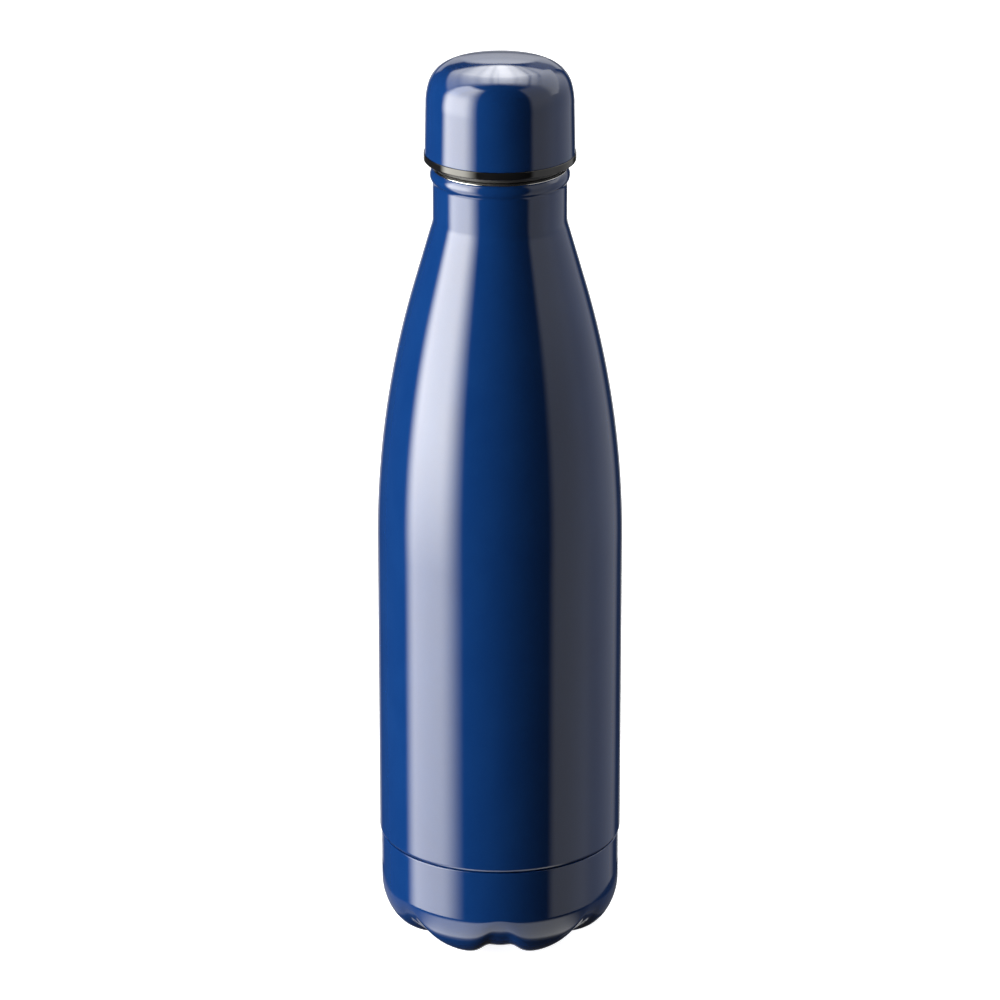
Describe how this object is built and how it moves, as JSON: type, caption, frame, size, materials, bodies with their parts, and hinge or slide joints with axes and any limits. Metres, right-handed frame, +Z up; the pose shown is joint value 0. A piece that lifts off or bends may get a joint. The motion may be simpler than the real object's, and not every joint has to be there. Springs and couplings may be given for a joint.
{
  "type": "insulated water bottle",
  "caption": "Double-wall steel drinks bottle with a long tapered shoulder, a lobed base cup and a domed screw cap.",
  "frame": {"origin": "centre of the circle that the seven feet stand on", "axes": "+Z up along the bottle to the cap; -Y is the front, where one valley of the base faces"},
  "size_m": [0.07, 0.07, 0.264],
  "materials": {
    "painted_steel": "glossy navy blue enamel over steel",
    "bare_steel": "fine turned stainless steel",
    "copper_foil": "copper-coloured reflective foil",
    "getter": "sintered grey pellet",
    "solder_glass": "dull glass solder",
    "adhesive": "cured pale adhesive",
    "black_plastic": "glossy black moulded polypropylene",
    "dark_plastic": "satin black moulded polypropylene",
    "silicone": "matt black silicone",
    "foam": "white expanded foam"
  },
  "bodies": {
    "bottle": {"outer_shell": "painted_steel", "inner_liner": "bare_steel", "inner_bottom": "bare_steel", "outer_bottom": "bare_steel", "reflective_foil": "copper_foil", "getter_holder": "bare_steel", "getter_pill": "getter", "vacuum_seal": "solder_glass", "base_cup": "painted_steel", "base_adhesive": "adhesive"},
    "seal": {"gasket": "silicone"},
    "cap": {"cap_shell": "painted_steel", "cap_liner": "black_plastic", "cap_adhesive": "adhesive", "threaded_stopper": "dark_plastic", "stopper_foam": "foam", "stopper_cover": "dark_plastic"}
  },
  "joints": [
    {"name": "cap_rise", "type": "slide", "parent": "bottle", "child": "seal", "axis": [0, 0, 1], "range_m": [0, 0.03]},
    {"name": "cap_turn", "type": "hinge", "parent": "seal", "child": "cap", "pos_m": [0, 0, 0.2334], "axis": [0, 0, 1], "range_deg": [0, 2700]}
  ],
  "couplings": [
    {"joint": "cap_rise", "follows": "cap_turn", "m_per_rad": 0.00063662}
  ]
}
